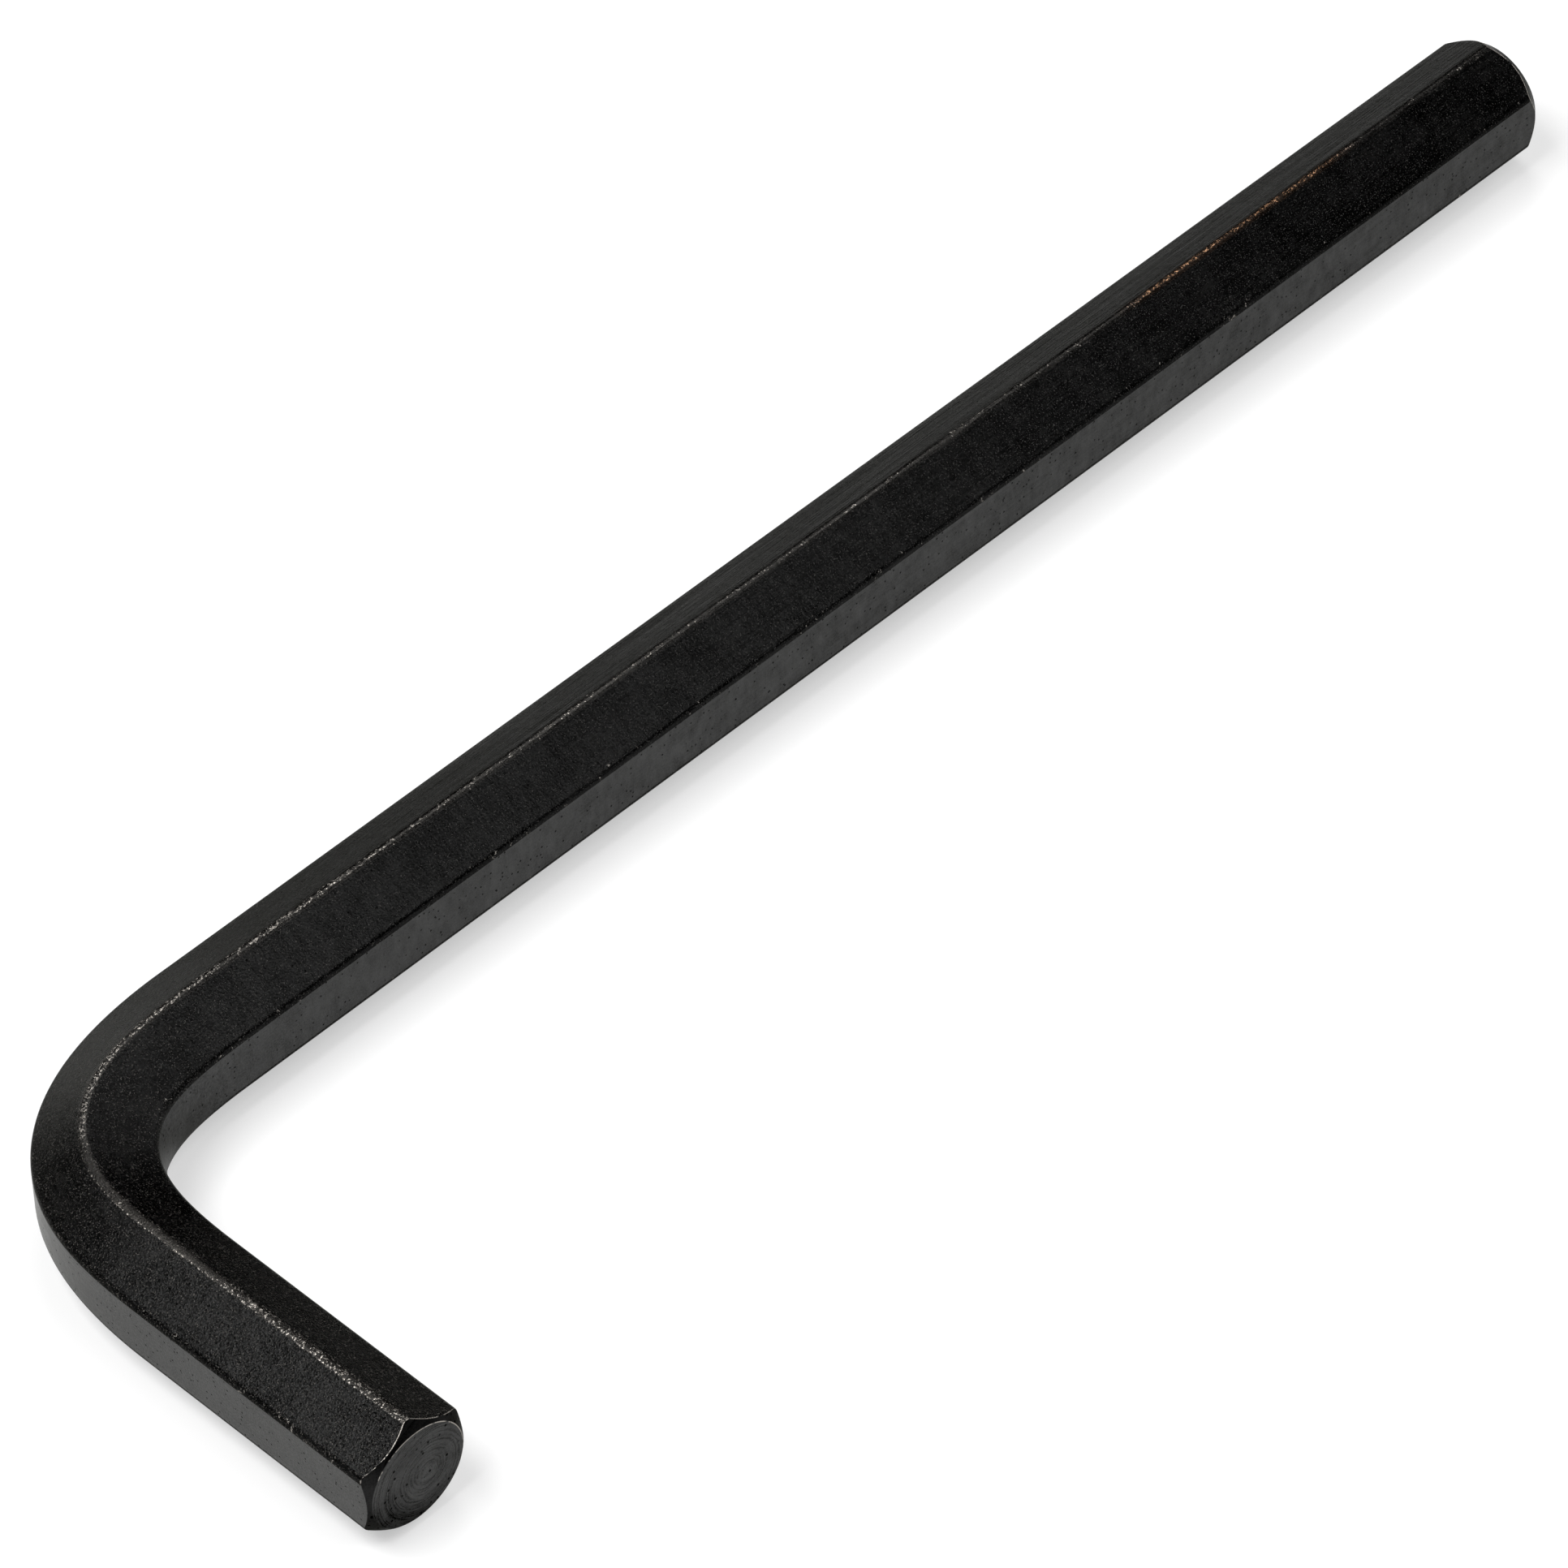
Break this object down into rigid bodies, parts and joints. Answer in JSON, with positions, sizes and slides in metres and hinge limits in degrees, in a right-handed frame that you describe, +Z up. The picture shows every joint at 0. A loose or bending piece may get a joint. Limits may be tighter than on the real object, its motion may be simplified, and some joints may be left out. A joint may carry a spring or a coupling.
{
  "type": "hex key",
  "caption": "L-shaped hexagonal steel key with rounded long edges, chamfered turned ends and a right-angle bend, for turning socket screws.",
  "frame": {"origin": "centre of the bounding box at its lowest level, which is the surface that the key lies on", "axes": "+X along the long arm from the bend to its end, -Y along the short arm from the bend to its end, +Z up and square to the plane of the bend"},
  "size_m": [0.175, 0.05, 0.0113],
  "materials": {
    "black_oxide_steel": "black oxide over drawn bar, worn bright along the edges"
  },
  "bodies": {
    "root": {"hex_key": "black_oxide_steel"}
  },
  "joints": []
}
